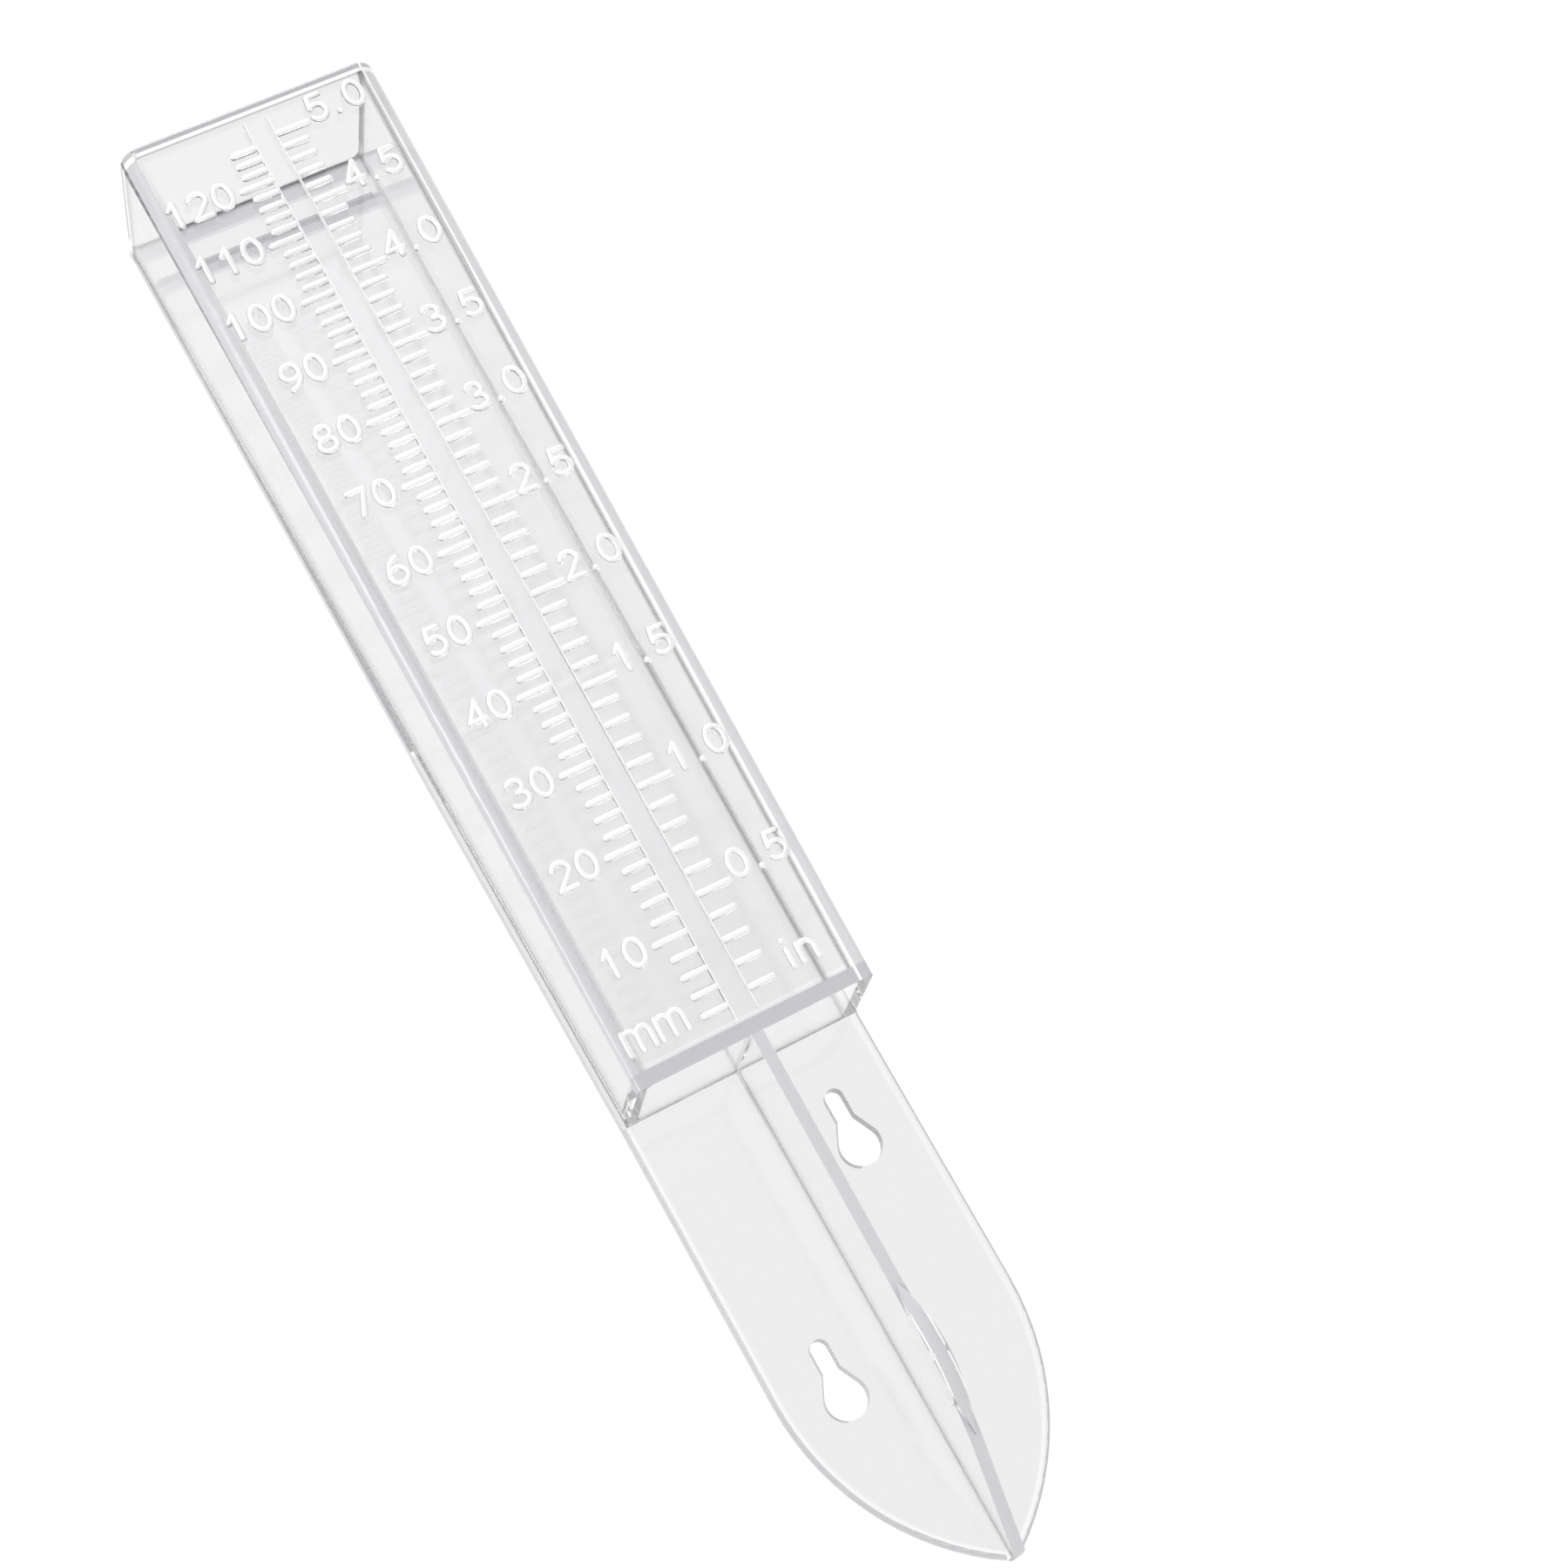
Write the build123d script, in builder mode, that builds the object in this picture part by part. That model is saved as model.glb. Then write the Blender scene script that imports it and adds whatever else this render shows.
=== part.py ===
from build123d import *
from math import atan2, cos
import os

# A one-piece clear rain gauge: a tapered, open-topped tube with raised graduations on its front,
# standing on a pointed blade that is stiffened by a fin and pierced by two keyholes.
# +Z points to the mouth and the scale faces -Y. The flat back lies in the plane Y = 0,
# and Z = 0 is the underside of the tube, where the blade begins. Sizes are in millimetres.

# Tube
mouth_width = 43.6
mouth_depth = 30.3
base_width = 39.8
base_depth = 21.8
tube_height = 169.0
wall = 2.0
floor_thickness = 2.4
mouth_front_radius = 3.2
base_front_radius = 0.8
inner_radius = 1.2
rim_radius = 0.6

# Flat back plate, in one piece with the blade; the tube's back stands in from it above its ramp.
# From there a low flange runs up each back edge of the tube and fades out under the rim.
plate_top = 68.8
plate_relief = 0.4
ramp_length = 1.3
flange_gap = 4.0

# Blade
blade_width = 41.0
blade_thickness = 2.3
blade_length = 83.0
blade_parallel = 46.6
blade_tip_radius = 1.2
blade_edge_radius = 0.5

# Fin on the middle of the blade; its free edge leans in a little down to its shoulder
fin_thickness = 2.0
fin_lean = 2.3
fin_shoulder = 61.0
fin_shoulder_radius = 26.0
fin_tip_height = 4.6

# Swelling of the fin's free edge where the mould is filled
gate_top = 41.4
gate_crown = 48.2
gate_bottom = 65.5
gate_height = 2.4
gate_inset = 2.5
gate_thickness = 3.0

# Keyholes, measured from the middle of their round ends
keyhole_radius = 3.4
keyhole_slot_width = 3.0
keyhole_throat = 4.3
keyhole_reach = 9.7
keyhole_offset = 10.5
upper_keyhole_drop = 18.5
lower_keyhole_drop = 50.9

# Graduations
inch = 25.4
rain_step_mm = 2
rain_long_every_mm = 10
rain_step_inch = 0.1
inch_long_every = 5
ridge_offset = 1.9
ridge_width = 0.6
ridge_bottom = 3.0
ridge_gap = 3.3
mark_height = 0.9
mark_relief = 0.5
mark_draft_angle = 15
mark_root = 0.3
mark_end_cut = 0.27
mm_short = 6.4
mm_long = 7.8
inch_short = 6.6
inch_long = 8.0
level_halvings = 40


def width_at(z):
    return base_width + (mouth_width - base_width) * z / tube_height


def depth_at(z):
    return base_depth + (mouth_depth - base_depth) * z / tube_height


def cavity_area(z):
    return (width_at(z) - 2 * wall) * (depth_at(z) - wall - blade_thickness)


def water_volume(z):
    # the cavity's area is a product of two straight tapers, so Simpson's rule is exact
    middle = (floor_thickness + z) / 2
    mean_area = (cavity_area(floor_thickness) + 4 * cavity_area(middle) + cavity_area(z)) / 6
    return mean_area * (z - floor_thickness)


def water_level(rain):
    # the level at which the water over the floor is the mouth's area times the rain
    caught = rain * cavity_area(tube_height)
    low, high = floor_thickness, 2 * tube_height
    for halving in range(level_halvings):
        middle = (low + high) / 2
        if water_volume(middle) < caught:
            low = middle
        else:
            high = middle
    return low


# The ridges stop short of the rim. The inch marks end at the last long one that fits beside
# them, and the millimetre marks end with the inch marks.
ridge_top = tube_height - ridge_gap
rain_at_ridge_top = water_volume(ridge_top) / cavity_area(tube_height)
rain_per_long_inch = inch_long_every * rain_step_inch * inch
inch_marks = int(rain_at_ridge_top // rain_per_long_inch) * inch_long_every
mm_marks = int(inch_marks * rain_step_inch * inch // rain_step_mm)


def fin_reach(drop):
    return base_depth - fin_lean * drop / fin_shoulder


# Cavity: the tube's front view and side view crossed, standing on the floor
with BuildPart() as cavity:
    with BuildSketch(Plane.XZ):
        with BuildLine():
            Polyline(
                (width_at(floor_thickness) / 2 - wall, floor_thickness),
                (mouth_width / 2 - wall, tube_height),
                (-(mouth_width / 2 - wall), tube_height),
                (-(width_at(floor_thickness) / 2 - wall), floor_thickness),
                close=True,
            )
        make_face()
    extrude(amount=mouth_depth)
    with BuildSketch(Plane.YZ):
        with BuildLine():
            Polyline(
                (-blade_thickness, floor_thickness),
                (-(depth_at(floor_thickness) - wall), floor_thickness),
                (-(mouth_depth - wall), tube_height),
                (-blade_thickness, tube_height),
                close=True,
            )
        make_face()
    extrude(amount=mouth_width, both=True, mode=Mode.INTERSECT)
    fillet(cavity.edges().group_by(Axis.Z)[1], inner_radius)

# What the rounded front corners leave out, lofted from the base to the mouth
with BuildPart() as corner_cuts:
    sections = []
    for z, radius in ((0, base_front_radius), (tube_height, mouth_front_radius)):
        with BuildSketch(Plane.XY.offset(z)) as section:
            with Locations((width_at(z) / 2, -depth_at(z))):
                Rectangle(2 * radius, 2 * radius)
            with Locations((width_at(z) / 2 - radius, radius - depth_at(z))):
                Circle(radius, mode=Mode.SUBTRACT)
        sections.append(section.sketch)
    loft(sections, ruled=True)
    mirror(about=Plane.YZ)

# Back plate behind the tube, with the ramp at its top
plate_margin = (blade_width - base_width) / 2
plate_end_width = width_at(plate_top) + 2 * plate_margin
with BuildPart() as back_plate:
    with BuildSketch(Plane.XZ):
        with BuildLine():
            Polyline(
                (blade_width / 2, 0),
                (plate_end_width / 2, plate_top),
                (-plate_end_width / 2, plate_top),
                (-blade_width / 2, 0),
                close=True,
            )
        make_face()
    extrude(amount=blade_thickness)
    plate_back = back_plate.faces().sort_by(Axis.Y)[-1]
    plate_end = plate_back.edges().sort_by(Axis.Z)[-1]
    chamfer(plate_end, ramp_length, plate_relief, reference=plate_back)

# Flange along the tube's back edges, from the plate's ramp to where it meets the tube's sides
flange_top = tube_height - flange_gap
with BuildPart() as flange:
    with BuildSketch(Plane.XZ.offset(plate_relief)):
        with BuildLine():
            Polyline(
                (plate_end_width / 2, plate_top - ramp_length),
                (width_at(flange_top) / 2, flange_top),
                (-width_at(flange_top) / 2, flange_top),
                (-plate_end_width / 2, plate_top - ramp_length),
                close=True,
            )
        make_face()
    extrude(amount=blade_thickness - plate_relief)

# Blade, drawn from the front, with its front edges rounded
with BuildPart() as blade:
    with BuildSketch(Plane.XZ) as blade_outline:
        with BuildLine():
            side = Polyline((0, 0), (blade_width / 2, 0), (blade_width / 2, -blade_parallel))
            TangentArc(side @ 1, (0, -blade_length), tangent=(0, -1))
            mirror(about=Plane.YZ)
        make_face()
        fillet(blade_outline.vertices().sort_by(Axis.Y)[0], blade_tip_radius)
    extrude(amount=blade_thickness)
    front_outline = blade.edges().group_by(Axis.Y)[0].sort_by(Axis.Z)
    fillet(front_outline[:-1], blade_edge_radius)

# Swelling on the fin's free edge: a lens from the side and a lens from the front
with BuildPart() as gate_swelling:
    with BuildSketch(Plane.YZ):
        with BuildLine():
            crest = Spline(
                (-fin_reach(gate_top), -gate_top),
                (-(fin_reach(gate_crown) + gate_height), -gate_crown),
                (-(fin_reach(fin_shoulder) - gate_height), -gate_bottom),
            )
            Polyline(
                crest @ 1,
                crest @ 1 + Vector(gate_inset, 0),
                crest @ 0 + Vector(gate_inset, 0),
                crest @ 0,
            )
        make_face()
    extrude(amount=gate_thickness, both=True)
    with BuildSketch(Plane.XZ):
        gate_middle = (gate_top + gate_bottom) / 2
        with BuildLine():
            ThreePointArc((0, -gate_top), (gate_thickness / 2, -gate_middle), (0, -gate_bottom))
            ThreePointArc((0, -gate_bottom), (-gate_thickness / 2, -gate_middle), (0, -gate_top))
        make_face()
    extrude(amount=base_depth + gate_height, mode=Mode.INTERSECT)

# Fin, drawn from the side and trimmed to the blade's outline
with BuildPart() as fin:
    with BuildSketch(Plane.YZ) as fin_profile:
        with BuildLine():
            Polyline(
                (-blade_thickness / 2, 0),
                (-base_depth, 0),
                (-fin_reach(fin_shoulder), -fin_shoulder),
                (-fin_tip_height, -blade_length),
                (-blade_thickness / 2, -blade_length),
                close=True,
            )
        make_face()
        shoulder = fin_profile.vertices().sort_by_distance((-base_depth, -fin_shoulder, 0))[0]
        fillet(shoulder, fin_shoulder_radius)
    extrude(amount=fin_thickness / 2, both=True)
    add(gate_swelling.part)
    extrude(blade_outline.sketch, amount=base_depth + gate_height, mode=Mode.INTERSECT)

# A keyhole about the middle of its round end
with BuildSketch() as keyhole:
    Circle(keyhole_radius)
    with Locations((0, keyhole_throat)):
        Circle(keyhole_slot_width / 2)
    make_hull()
    slot_top = keyhole_reach - keyhole_slot_width / 2
    with Locations((0, (keyhole_throat + slot_top) / 2)):
        SlotCenterToCenter(slot_top - keyhole_throat, keyhole_slot_width, rotation=90)

# Raised graduations, drawn on the sloping front; each bar grows out of its ridge
front_slope = atan2(mouth_depth - base_depth, tube_height)
front_face = Plane(
    origin=(0, -base_depth, 0),
    x_dir=(1, 0, 0),
    z_dir=(0, -tube_height, -(mouth_depth - base_depth)),
)


def up_the_face(z):
    return z / cos(front_slope)


def bar(reach):
    # square at its ridge, with the corners of its free end cut off
    with BuildSketch() as outline:
        Rectangle(reach, mark_height, align=(Align.MIN, Align.CENTER))
        chamfer(outline.vertices().group_by(Axis.X)[-1], mark_end_cut)
    return outline.sketch


mm_bars = {True: bar(mm_long - ridge_offset), False: bar(mm_short - ridge_offset)}
inch_bars = {True: bar(inch_long - ridge_offset), False: bar(inch_short - ridge_offset)}

with BuildPart() as graduations:
    with BuildSketch(front_face.offset(-mark_root)):
        for step in range(1, mm_marks + 1):
            rain = step * rain_step_mm
            with Locations((-ridge_offset, up_the_face(water_level(rain)))):
                add(mm_bars[rain % rain_long_every_mm == 0], rotation=180)
        for step in range(1, inch_marks + 1):
            rain = step * rain_step_inch * inch
            with Locations((ridge_offset, up_the_face(water_level(rain)))):
                add(inch_bars[step % inch_long_every == 0])
    extrude(amount=mark_relief + mark_root, taper=mark_draft_angle)
    with BuildSketch(front_face.offset(-mark_root)):
        for ridge_x in (-ridge_offset, ridge_offset):
            with Locations((ridge_x, up_the_face((ridge_bottom + ridge_top) / 2))):
                Rectangle(ridge_width, up_the_face(ridge_top - ridge_bottom))
    extrude(amount=mark_relief + mark_root, taper=mark_draft_angle)

with BuildPart() as gauge_body:
    # outside of the tube, from its front view and its side view
    with BuildSketch(Plane.XZ):
        with BuildLine():
            Polyline(
                (base_width / 2, 0),
                (mouth_width / 2, tube_height),
                (-mouth_width / 2, tube_height),
                (-base_width / 2, 0),
                close=True,
            )
        make_face()
    extrude(amount=mouth_depth)
    with BuildSketch(Plane.YZ):
        with BuildLine():
            Polyline(
                (-plate_relief, 0),
                (-base_depth, 0),
                (-mouth_depth, tube_height),
                (-plate_relief, tube_height),
                close=True,
            )
        make_face()
    extrude(amount=mouth_width, both=True, mode=Mode.INTERSECT)
    add(corner_cuts.part, mode=Mode.SUBTRACT)
    add(cavity.part, mode=Mode.SUBTRACT)
    fillet(gauge_body.edges().group_by(Axis.Z)[-1], rim_radius)
    # back plate and flange, and the blade with its fin and keyholes
    add(back_plate.part)
    add(flange.part)
    add(blade.part)
    add(fin.part)
    with BuildSketch(Plane.XZ):
        with Locations((keyhole_offset, -upper_keyhole_drop), (-keyhole_offset, -lower_keyhole_drop)):
            add(keyhole.sketch)
    extrude(amount=blade_thickness, mode=Mode.SUBTRACT)
    add(graduations.part)

gauge_body.part.label = "gauge_body"
os.makedirs("parts", exist_ok=True)
export_step(gauge_body.part, "parts/gauge_body.step")
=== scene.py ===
import bpy
import bmesh
import math
from mathutils import Matrix, Quaternion, Vector


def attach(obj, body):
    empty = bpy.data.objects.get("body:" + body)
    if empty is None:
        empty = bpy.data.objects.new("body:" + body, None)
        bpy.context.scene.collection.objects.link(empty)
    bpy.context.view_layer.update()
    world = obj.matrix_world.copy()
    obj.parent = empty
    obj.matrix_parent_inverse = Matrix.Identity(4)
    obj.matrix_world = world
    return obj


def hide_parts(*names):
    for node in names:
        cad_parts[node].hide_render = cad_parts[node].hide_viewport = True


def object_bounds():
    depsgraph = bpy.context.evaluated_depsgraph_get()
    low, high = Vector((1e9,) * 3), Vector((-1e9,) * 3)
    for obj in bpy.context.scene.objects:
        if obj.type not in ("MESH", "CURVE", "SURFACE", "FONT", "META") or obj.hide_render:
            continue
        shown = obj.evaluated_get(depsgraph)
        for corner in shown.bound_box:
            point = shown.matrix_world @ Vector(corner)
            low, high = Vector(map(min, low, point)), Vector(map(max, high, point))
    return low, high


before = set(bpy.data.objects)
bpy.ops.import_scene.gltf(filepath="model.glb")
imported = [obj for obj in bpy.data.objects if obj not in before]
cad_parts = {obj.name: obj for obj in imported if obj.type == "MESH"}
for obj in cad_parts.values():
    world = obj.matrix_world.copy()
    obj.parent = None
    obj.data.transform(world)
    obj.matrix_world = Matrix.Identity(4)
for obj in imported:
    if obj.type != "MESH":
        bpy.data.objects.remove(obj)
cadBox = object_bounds()
print("frame loaded")

mm = 0.001
inch = 25.4     # of rain, in mm


# camera: below and to the left of the gauge, rolled so that the gauge leans to the left
cameraView = {
    "spot": (-0.11698, -0.47059, -0.09667),
    "aim": (0.02644, -0.01, 0.03575),
    "roll": -30.329,
    "lens": 74.007,
    "sensor": 36.0,
    "near": 0.01,
}


def makeCamera():
    data = bpy.data.cameras.new("camera")
    data.lens = cameraView["lens"]
    data.sensor_width = cameraView["sensor"]
    data.clip_start = cameraView["near"]
    camera = bpy.data.objects.new("camera", data)
    bpy.context.scene.collection.objects.link(camera)
    spot = Vector(cameraView["spot"])
    look = (Vector(cameraView["aim"]) - spot).to_track_quat("-Z", "Y")
    camera.rotation_mode = "QUATERNION"
    camera.location = spot
    camera.rotation_quaternion = look @ Quaternion((0, 0, 1), math.radians(cameraView["roll"]))
    bpy.context.scene.camera = camera
    print("camera placed")


# the tube as the frame has it, in mm: places the numerals and the finishes
tube = {
    "mouthWidth": 43.6,
    "mouthDepth": 30.3,
    "baseWidth": 39.8,
    "baseDepth": 21.8,
    "height": 169.0,
    "wall": 2.0,
    "floor": 2.4,
    "back": 2.3,
}


def slopeOfFront():
    return math.atan2(tube["mouthDepth"] - tube["baseDepth"], tube["height"])


def frontNormal():
    slope = slopeOfFront()
    return Vector((0, -math.cos(slope), -math.sin(slope)))


def frontReach():
    # how far along its normal the front's plane lies, in mm
    return tube["baseDepth"] * math.cos(slopeOfFront())


def sideDirection():
    # measures the same all the way up the side wall where x is positive
    widening = (tube["mouthWidth"] - tube["baseWidth"]) / 2 / tube["height"]
    return Vector((1, 0, -widening))


def stripStart():
    # where the strips beside the front begin along that direction, in mm
    return tube["baseWidth"] / 2 - edges["stripWidth"]


def newMaterial(name):
    material = bpy.data.materials.new(name)
    material.use_nodes = True
    material.node_tree.nodes.clear()
    return material, material.node_tree


def numberStep(tree, operation, *numbers):
    step = tree.nodes.new("ShaderNodeMath")
    step.operation = operation
    for number, socket in zip(numbers, step.inputs):
        tree.links.new(number, socket)
    return step.outputs[0]


def vectorStep(tree, operation, vector, fixed=None):
    step = tree.nodes.new("ShaderNodeVectorMath")
    step.operation = operation
    tree.links.new(vector, step.inputs[0])
    if fixed is not None:
        step.inputs[1].default_value = fixed
    return step.outputs["Value" if operation in ("DOT_PRODUCT", "LENGTH") else "Vector"]


def ramp(tree, value, ends, start=0.0):
    # 0 up to the first end and 1 from the second one on, both counted from start, in mm
    step = tree.nodes.new("ShaderNodeMapRange")
    step.interpolation_type = "SMOOTHSTEP"
    step.inputs["From Min"].default_value = (start + ends[0]) * mm
    step.inputs["From Max"].default_value = (start + ends[1]) * mm
    tree.links.new(value, step.inputs["Value"])
    return step.outputs[0]


def both(tree, one, other):
    return numberStep(tree, "MULTIPLY", one, other)


def within(tree, value, low, high):
    fade = plastic["fade"]
    return both(tree, ramp(tree, value, (-fade, fade), low), ramp(tree, value, (fade, -fade), high))


# lays a painted shade or highlight colour over the colour under it, where the mask is
def tinted(tree, under, mask, color):
    # inputs 6 and 7 are the two colours of a colour mix
    mix = tree.nodes.new("ShaderNodeMix")
    mix.data_type = "RGBA"
    tree.links.new(mask, mix.inputs["Factor"])
    if isinstance(under, tuple):
        mix.inputs[6].default_value = under + (1,)
    else:
        tree.links.new(under, mix.inputs[6])
    mix.inputs[7].default_value = color + (1,)
    return mix.outputs[2]


# clear moulded plastic: painted shade darkens the left wall, the front and the blade, painted light the
# right wall
plastic = {
    "name": "clear_plastic",
    "through": 1.0,
    "roughness": 0.03,
    "ior": 1.57,
    "absorb": (0.50, 0.50, 0.54),
    "absorbDensity": 3.0,
    "waveScale": 90.0,
    "waveDetail": 2.0,
    "waveDepth": 0.00002,
    "plain": (0.945, 0.947, 0.952),
    # painted shade on the left wall, the front and the blade
    "left": (0.84, 0.843, 0.85),
    "front": (0.865, 0.867, 0.873),
    "blade": (0.865, 0.867, 0.872),
    "litFinSide": (0.985, 0.985, 0.99),
    # painted shadows across the back wall
    "shadowBandFill": (0.66, 0.66, 0.69),
    "shadowBandLine": (0.30, 0.30, 0.34),
    # the next colour paints a shade line under the rim, and white paints highlights and the lit right wall
    "line": (0.40, 0.40, 0.43),
    "white": (1.0, 1.0, 1.0),
    # painted shadow stripes, painted highlight and shade lines, in mm
    "shadowBands": ((165.4, 168.9), (158.6, 161.4)),      # painted shadows across the back wall
    "shadowBandLineHeight": 0.7,
    "highlightLineWidth": 0.35,        # of the painted highlight line beside each strip
    "rimShadeLine": (166.85, 167.15),
    "floorHighlight": (2.7, 3.2),
    "seamHighlight": (68.0, 69.0),        # painted highlight where the back plate ends
    "bladeHalfWidth": 20.5,
    "bladeStraight": 46.6,        # below this the outline is an arc
    "bladeArc": 42.57,
    "bladeHighlight": (-1.1, -0.55),      # painted highlight line inside the blade's outline
    # where a painted shade or highlight sets in, from none of it to all of it, in mm
    "fade": 0.1,
    "aboveFrom": (0.2, 0.4),
    "belowFrom": (0.2, -0.2),
    "leftShadeFrom": (-5, -6),
    "rightLitFrom": (5, 6),
    "wallFrom": (-0.6, -0.3),     # counted from a wall's inside
    "skinFrom": (-0.3, -0.1),     # from the front's outside
    "backFrom": (-0.5, -0.2),     # from the back plate's front
}

# raised marks and numerals: their tops are matt white; the same finish paints a highlight on the swelling
# over the gate
marks = {
    "name": "raised_marks",
    "color": (1.0, 1.0, 1.0),
    "through": 0.35,
    "roughness": 0.3,
    "ior": 1.57,
    "numeralProud": 0.25,     # a numeral is white from this far in front of the wall, in mm
    "barProud": 0.4,          # a bar or ridge that reaches this far is white, its sides too
}

# thin ends of the moulding, such as the fin's front, the strips and the outline: less clear, painted grey
# as shade
edges = {
    "name": "edge_shade_and_highlights",
    "through": 0.15,
    "roughness": 0.15,
    "ior": 1.57,
    # greys paint the shade along these thin ends, lighter on the right as painted light; white paints
    # highlights
    "color": (0.62, 0.615, 0.64),
    "right": (0.68, 0.675, 0.70),
    "outline": (0.55, 0.545, 0.57),
    "finFrontShade": (0.62, 0.615, 0.64),
    "rimShade": (0.52, 0.515, 0.54),
    "floorShade": (0.53, 0.525, 0.55),
    "white": (1.0, 1.0, 1.0),
    # sizes, in mm
    "stripWidth": 1.9,        # strips along the front's sides, where the side walls stand behind it
    "stripDepth": 2.0,
    "rightExtra": 0.4,        # painted highlight line beside the right strip
    "floorStrip": 2.4,
    "plateTop": 68.8,
    "rimBand": 167.2,         # painted highlight from here to the rim's rounding
    "rim": 168.3,
    "rootStrip": 1.3,         # along the back of the side walls (frosted) and the root of the fin (grey, painted shade)
    "finHalfWidth": 1.0,
    "cornerRadius": 1.2,      # of the cavity's upright corners
    # where a painted shade or highlight sets in, from none of it to all of it, in mm
    "finFrom": (1.3, 1.2),
    "cornerFrom": (0.93, 1.03),       # painted highlight along both corners of the fin's front
    "rightLitFrom": (1.3, 1.4),
    "belowFrom": (0.2, -0.2),
    "rimFrom": (167.75, 167.85),
    "bandFrom": (-0.4, -0.2),         # counted from the rim's band
    "floorFrom": (0.1, -0.1),         # from the floor's strip
    "besideFrom": (-0.1, 0.0),        # from the white line's outside
    "besideTo": (0.05, -0.05),        # from the strip
    "nearBackFrom": (-4.0, -3.0),     # from the back plate's front, as is the next one
    "outlineFrom": (-0.12, -0.02),
}

# the cavity's corners, the right flange, the strips along the back of both side walls
# and the rim's flat top: frosted, so that they let light through evenly
frosted = {
    "name": "frosted_corners",
    "through": 1.0,
    "roughness": 0.45,
    "ior": 1.57,
    "color": (0.97, 0.97, 0.98),
}


def bladeDistance(tree, mirrored):
    # from the centre of the arc below the blade's straight sides, and level with those beside them
    # (below the base z is negative, so its mirrored value counts downwards)
    sideShift = (plastic["bladeArc"] - plastic["bladeHalfWidth"]) * mm
    centred = vectorStep(tree, "ADD", mirrored, (sideShift, 0, -plastic["bladeStraight"] * mm))
    lower = vectorStep(tree, "MAXIMUM", centred, (0, -1, 0))
    level = vectorStep(tree, "MULTIPLY", lower, (1, 0, 1))
    return vectorStep(tree, "LENGTH", level)


def plasticColor(tree, place):
    parts = tree.nodes.new("ShaderNodeSeparateXYZ")
    tree.links.new(place, parts.inputs[0])
    x, y, z = parts.outputs
    forward = vectorStep(tree, "DOT_PRODUCT", place, frontNormal())
    mirrored = vectorStep(tree, "ABSOLUTE", place)
    across = vectorStep(tree, "DOT_PRODUCT", mirrored, sideDirection())
    front = frontReach()
    strip = stripStart()
    aboveBase = ramp(tree, z, plastic["aboveFrom"])
    belowBase = ramp(tree, z, plastic["belowFrom"])
    onBack = ramp(tree, y, plastic["backFrom"], -tube["back"])
    offBack = ramp(tree, y, plastic["backFrom"][::-1], -tube["back"])
    onFront = ramp(tree, forward, plastic["wallFrom"], front - tube["wall"])
    onOutside = both(tree, ramp(tree, forward, plastic["skinFrom"], front), aboveBase)
    onSide = ramp(tree, across, plastic["wallFrom"], tube["baseWidth"] / 2 - tube["wall"])
    color = plastic["plain"]
    # painted shade: the left wall, the front and the blade darker; painted light: the right wall white
    for where, level, lightOrShade in (
        (both(tree, ramp(tree, x, plastic["leftShadeFrom"]), onSide), aboveBase, "left"),
        (both(tree, ramp(tree, x, plastic["rightLitFrom"]), onSide), aboveBase, "white"),
        (onFront, aboveBase, "front"),
        (onBack, belowBase, "blade"),
    ):
        color = tinted(tree, color, both(tree, where, level), plastic[lightOrShade])
    # painted shadows: two dark stripes across the back wall below the mouth, each with a darker line at
    # its top
    for low, high in plastic["shadowBands"]:
        for start, lightOrShade in ((low, "shadowBandFill"), (high - plastic["shadowBandLineHeight"], "shadowBandLine")):
            stripe = both(tree, within(tree, z, start, high), onBack)
            color = tinted(tree, color, stripe, plastic[lightOrShade])
    # painted light: the fin's sides lighter than the blade
    color = tinted(tree, color, both(tree, belowBase, offBack), plastic["litFinSide"])
    # painted highlights in white along the floor, beside each strip and at the back plate's top, and a
    # painted shade line under the rim
    for value, (low, high), lightOrShade, where in (
        (z, plastic["floorHighlight"], "white", onOutside),
        (across, (strip - plastic["highlightLineWidth"], strip), "white", onOutside),
        (z, plastic["seamHighlight"], "white", onBack),
        (z, plastic["rimShadeLine"], "line", onOutside),
    ):
        stripe = both(tree, within(tree, value, low, high), where)
        color = tinted(tree, color, stripe, plastic[lightOrShade])
    # painted highlight: a white line inside the blade's outline
    low, high = [plastic["bladeArc"] + reach for reach in plastic["bladeHighlight"]]
    outline = within(tree, bladeDistance(tree, mirrored), low, high)
    onBlade = both(tree, onBack, belowBase)
    return tinted(tree, color, both(tree, outline, onBlade), plastic["white"])


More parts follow.
